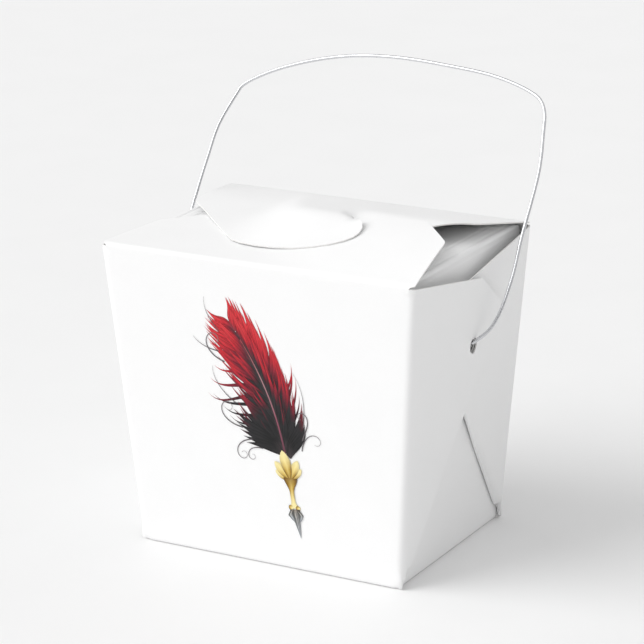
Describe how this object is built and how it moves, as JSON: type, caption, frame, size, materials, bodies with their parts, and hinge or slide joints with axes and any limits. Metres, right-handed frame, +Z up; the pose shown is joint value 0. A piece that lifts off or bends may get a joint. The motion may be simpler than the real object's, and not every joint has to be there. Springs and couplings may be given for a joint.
{
  "type": "folded paper favour box with wire handle",
  "caption": "Small folded-paper take-out favour box with flared walls, overlapping corner webs, a tongue lid and a thin wire bail handle.",
  "frame": {"origin": "centre of the base, on the surface that the box stands on", "axes": "+Z up, the printed wall faces -Y, +X to the right of a viewer who faces the print"},
  "size_m": [0.1118, 0.0858, 0.1323],
  "materials": {
    "paperboard": "smooth white coated board",
    "printed_ink": "satin ink on board, red to black feather with a gold and steel nib",
    "wire": "bright drawn steel wire"
  },
  "bodies": {
    "carton": {"bottom_panel": "paperboard", "front_panel": "paperboard", "back_panel": "paperboard", "left_panel": "paperboard", "right_panel": "paperboard", "front_right_web_outer": "paperboard", "front_right_web_inner": "paperboard", "back_right_web_outer": "paperboard", "back_right_web_inner": "paperboard", "front_left_web_outer": "paperboard", "front_left_web_inner": "paperboard", "back_left_web_outer": "paperboard", "back_left_web_inner": "paperboard"},
    "front_flap": {"front_lid_flap": "paperboard"},
    "back_flap": {"back_lid_flap": "paperboard"},
    "left_dust": {"left_dust_flap": "paperboard"},
    "right_dust": {"right_dust_flap": "paperboard"},
    "handle": {"wire_handle": "wire"}
  },
  "joints": [
    {"name": "back_flap_crease", "type": "hinge", "parent": "carton", "child": "back_flap", "pos_m": [0, 0.0362, 0.0906], "axis": [-1, 0, 0], "range_deg": [0, 92]},
    {"name": "front_flap_crease", "type": "hinge", "parent": "carton", "child": "front_flap", "pos_m": [0, -0.0362, 0.0906], "axis": [1, 0, 0], "range_deg": [0, 83]},
    {"name": "right_dust_crease", "type": "hinge", "parent": "carton", "child": "right_dust", "pos_m": [0.04705, 0, 0.08985], "axis": [0, 1, 0], "range_deg": [0, 83]},
    {"name": "left_dust_crease", "type": "hinge", "parent": "carton", "child": "left_dust", "pos_m": [-0.04705, 0, 0.08985], "axis": [0, -1, 0], "range_deg": [0, 83]},
    {"name": "handle_swing", "type": "hinge", "parent": "carton", "child": "handle", "pos_m": [0, 0, 0.0643], "axis": [1, 0, 0], "range_deg": [-85, 155]}
  ],
  "couplings": [
    {"joint": "front_flap_crease", "follows": "back_flap_crease", "ratio": 0.9},
    {"joint": "right_dust_crease", "follows": "back_flap_crease", "ratio": 0.9},
    {"joint": "left_dust_crease", "follows": "back_flap_crease", "ratio": 0.9}
  ]
}
